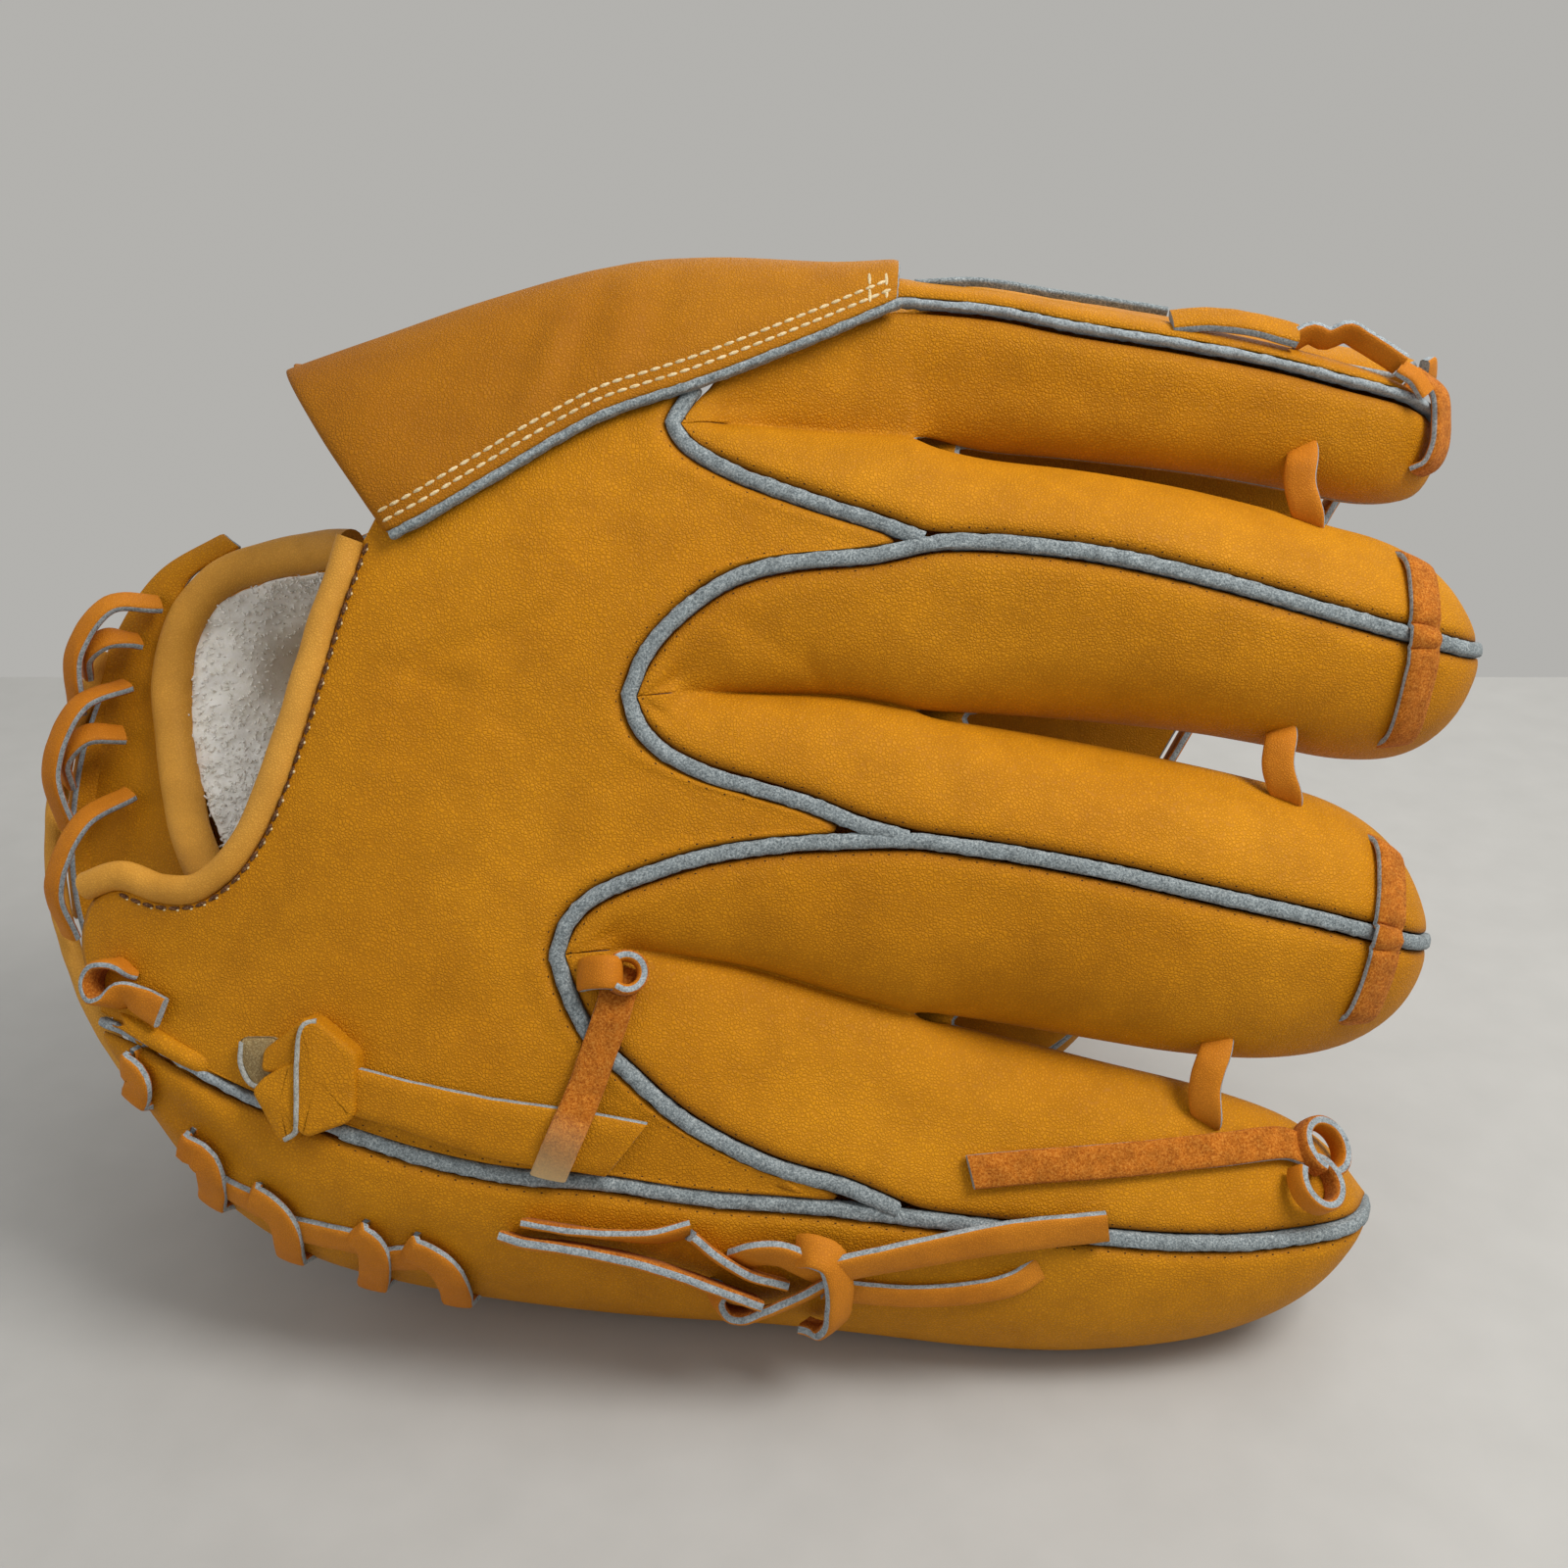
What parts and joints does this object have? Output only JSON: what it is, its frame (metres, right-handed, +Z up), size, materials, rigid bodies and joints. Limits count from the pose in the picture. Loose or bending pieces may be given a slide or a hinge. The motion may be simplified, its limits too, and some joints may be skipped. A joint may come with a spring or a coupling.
{
  "type": "baseball glove",
  "caption": "Leather ball glove for the right hand with hollow finger and thumb stalls, a closed web, a finger hood and a laced, fleece-lined heel, standing on its little-finger edge.",
  "frame": {"origin": "centre of the bounding box, on the table that the glove stands on", "axes": "+X from the heel towards the fingertips, +Z up from the little-finger edge towards the index finger, -Y out of the back of the hand"},
  "size_m": [0.3093, 0.1712, 0.2097],
  "materials": {
    "shell_leather": "satin pebble-grained tan steerhide",
    "binding_leather": "smooth paler tan binding",
    "lace_leather": "orange-tan lace with matt edges",
    "welt_suede": "matt grey split leather",
    "fleece": "off-white wool pile"
  },
  "bodies": {
    "root": {"back_panel": "shell_leather", "index_outer_panel": "shell_leather", "index_middle_gusset": "shell_leather", "middle_ring_gusset": "shell_leather", "ring_little_gusset": "shell_leather", "little_outer_panel": "shell_leather", "palm_panel": "shell_leather", "thumb_back_panel": "shell_leather", "web_panel": "shell_leather", "finger_hood": "shell_leather", "index_welt": "welt_suede", "index_middle_welt": "welt_suede", "middle_welt": "welt_suede", "ring_welt": "welt_suede", "little_welt": "welt_suede", "wrist_binding": "binding_leather", "heel_roll": "binding_leather", "heel_lining": "binding_leather", "fleece_lining": "fleece", "strap_knot": "shell_leather", "wrist_strap": "lace_leather", "corner_tie": "lace_leather", "index_tip_lace": "lace_leather", "middle_tip_lace": "lace_leather", "ring_tip_lace": "lace_leather", "little_tip_tie": "lace_leather", "crotch_tie": "lace_leather", "little_edge_tie": "lace_leather", "little_edge_tail": "lace_leather", "heel_whip_lace": "lace_leather", "little_edge_knot": "lace_leather", "index_middle_bridge": "lace_leather", "middle_ring_bridge": "lace_leather", "ring_little_bridge": "lace_leather", "heel_lace": "lace_leather", "palm_heel_binding": "binding_leather", "web_mouth_lace": "lace_leather"}
  },
  "joints": []
}
